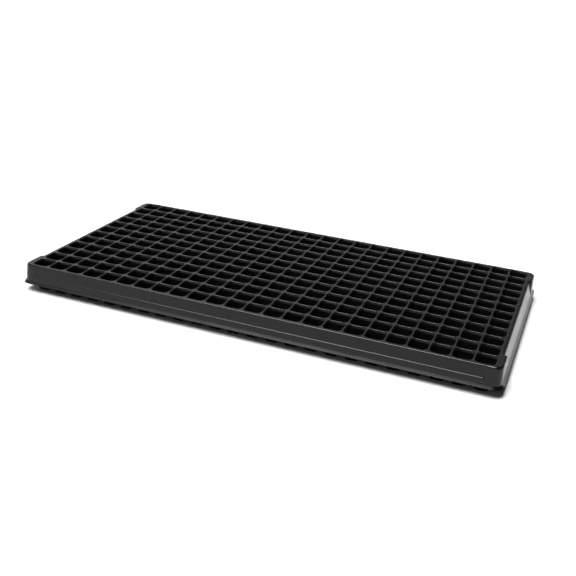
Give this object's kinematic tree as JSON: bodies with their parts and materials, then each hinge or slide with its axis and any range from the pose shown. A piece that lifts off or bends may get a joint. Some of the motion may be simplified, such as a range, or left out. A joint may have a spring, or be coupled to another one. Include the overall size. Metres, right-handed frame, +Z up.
{
  "type": "plug tray",
  "caption": "Shallow black plastic seedling tray: a rectangular grid of tapered square cells open at the top, inside a stepped skirt with a flared lip and stepped corners.",
  "frame": {"origin": "on the floor under the middle of the tray: the centre of the plane that the cell bottoms stand on", "axes": "+X along the long side, +Y from the front long side towards the back, +Z up, out of the cell mouths"},
  "size_m": [0.543, 0.276, 0.0315],
  "materials": {
    "black_plastic": "satin"
  },
  "bodies": {
    "root": {"cells_row_01_facing_walls": "black_plastic", "cells_row_01_side_walls": "black_plastic", "cells_row_01_bottoms": "black_plastic", "cells_row_02_facing_walls": "black_plastic", "cells_row_02_side_walls": "black_plastic", "cells_row_02_bottoms": "black_plastic", "cells_row_03_facing_walls": "black_plastic", "cells_row_03_side_walls": "black_plastic", "cells_row_03_bottoms": "black_plastic", "cells_row_04_facing_walls": "black_plastic", "cells_row_04_side_walls": "black_plastic", "cells_row_04_bottoms": "black_plastic", "cells_row_05_facing_walls": "black_plastic", "cells_row_05_side_walls": "black_plastic", "cells_row_05_bottoms": "black_plastic", "cells_row_06_facing_walls": "black_plastic", "cells_row_06_side_walls": "black_plastic", "cells_row_06_bottoms": "black_plastic", "cells_row_07_facing_walls": "black_plastic", "cells_row_07_side_walls": "black_plastic", "cells_row_07_bottoms": "black_plastic", "cells_row_08_facing_walls": "black_plastic", "cells_row_08_side_walls": "black_plastic", "cells_row_08_bottoms": "black_plastic", "cells_row_09_facing_walls": "black_plastic", "cells_row_09_side_walls": "black_plastic", "cells_row_09_bottoms": "black_plastic", "cells_row_10_facing_walls": "black_plastic", "cells_row_10_side_walls": "black_plastic", "cells_row_10_bottoms": "black_plastic", "cells_row_11_facing_walls": "black_plastic", "cells_row_11_side_walls": "black_plastic", "cells_row_11_bottoms": "black_plastic", "cells_row_12_facing_walls": "black_plastic", "cells_row_12_side_walls": "black_plastic", "cells_row_12_bottoms": "black_plastic", "deck_ribs_lengthwise": "black_plastic", "deck_ribs_crosswise": "black_plastic", "deck_border_front": "black_plastic", "deck_border_back": "black_plastic", "deck_border_left": "black_plastic", "deck_border_right": "black_plastic", "skirt_front_upper": "black_plastic", "skirt_front_ledge": "black_plastic", "skirt_front_lower": "black_plastic", "skirt_front_lip": "black_plastic", "skirt_back_upper": "black_plastic", "skirt_back_ledge": "black_plastic", "skirt_back_lower": "black_plastic", "skirt_back_lip": "black_plastic", "end_panel_left": "black_plastic", "end_panel_right": "black_plastic", "end_lip_left": "black_plastic", "end_lip_right": "black_plastic", "lug_front_left": "black_plastic", "lug_front_right": "black_plastic", "lug_back_left": "black_plastic", "lug_back_right": "black_plastic"}
  },
  "joints": []
}
